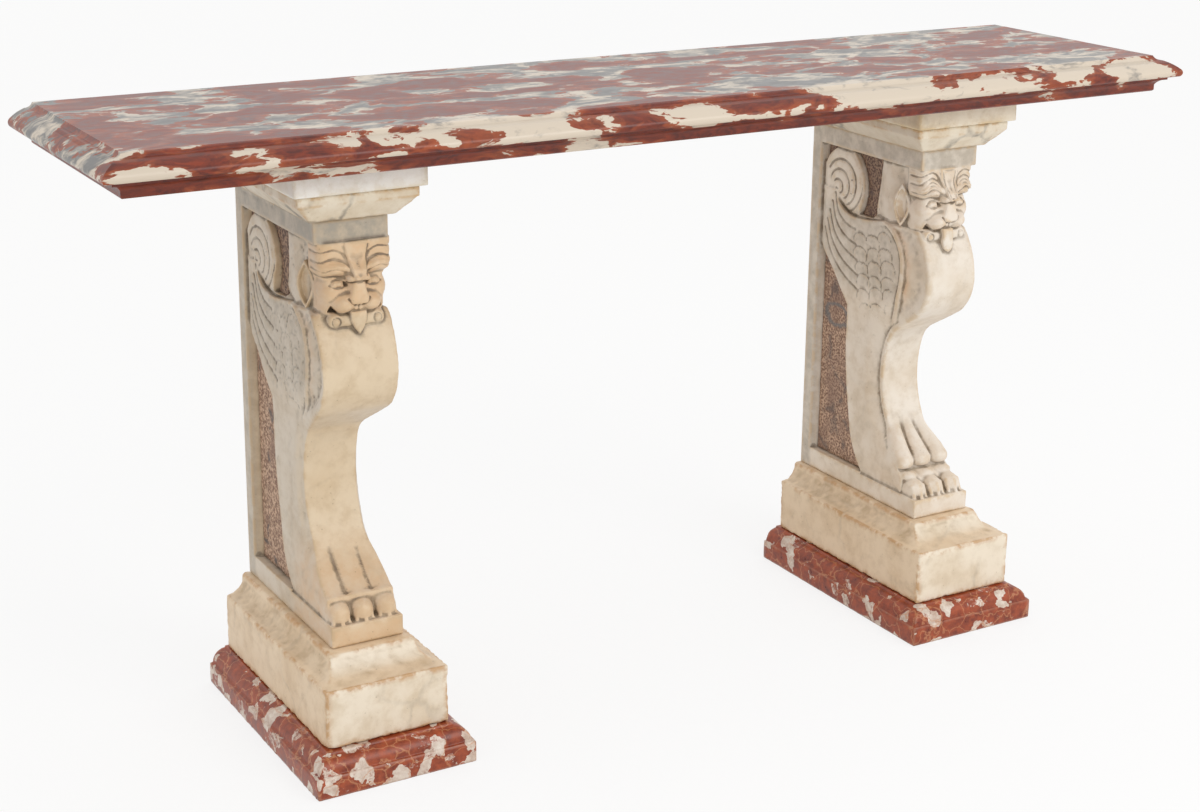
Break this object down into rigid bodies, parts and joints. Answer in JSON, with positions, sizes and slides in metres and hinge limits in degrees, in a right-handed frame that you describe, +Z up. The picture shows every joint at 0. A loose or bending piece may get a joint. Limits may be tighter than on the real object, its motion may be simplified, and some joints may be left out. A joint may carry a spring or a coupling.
{
  "type": "pier table",
  "caption": "Marble pier table: a moulded red slab on two winged lion supports with brown inlay, cream plinths and red bases.",
  "frame": {"origin": "centre of the table's footprint, on the floor", "axes": "+X along the length, +Y towards the wall behind the table, +Z up"},
  "size_m": [1.736, 0.418, 0.9],
  "materials": {
    "red_marble": "polished red marble with pale clouds",
    "red_breccia": "polished red breccia with white clasts",
    "cream_marble": "honed cream marble, worn arrises",
    "white_marble": "carved white marble with an ochre patina",
    "veined_marble": "honed cream marble with grey veins",
    "new_white_marble": "plain sawn white marble",
    "brown_stone": "rough granular brown stone",
    "dowel_brass": "plain bar"
  },
  "bodies": {
    "root": {"table_top": "red_marble", "base_left": "red_breccia", "plinth_left": "cream_marble", "support_left": "white_marble", "cap_left": "veined_marble", "bearing_plate_left": "new_white_marble", "inlay_corner_left_outer": "brown_stone", "inlay_strip_left_outer": "brown_stone", "inlay_field_left_outer": "brown_stone", "inlay_corner_left_inner": "brown_stone", "inlay_strip_left_inner": "brown_stone", "inlay_field_left_inner": "brown_stone", "dowels_foot_left": "dowel_brass", "dowels_paw_left": "dowel_brass", "dowels_cap_left": "dowel_brass", "base_right": "red_breccia", "plinth_right": "cream_marble", "support_right": "white_marble", "cap_right": "veined_marble", "bearing_plate_right": "new_white_marble", "inlay_corner_right_outer": "brown_stone", "inlay_strip_right_outer": "brown_stone", "inlay_field_right_outer": "brown_stone", "inlay_corner_right_inner": "brown_stone", "inlay_strip_right_inner": "brown_stone", "inlay_field_right_inner": "brown_stone", "dowels_foot_right": "dowel_brass", "dowels_paw_right": "dowel_brass", "dowels_cap_right": "dowel_brass"}
  },
  "joints": []
}
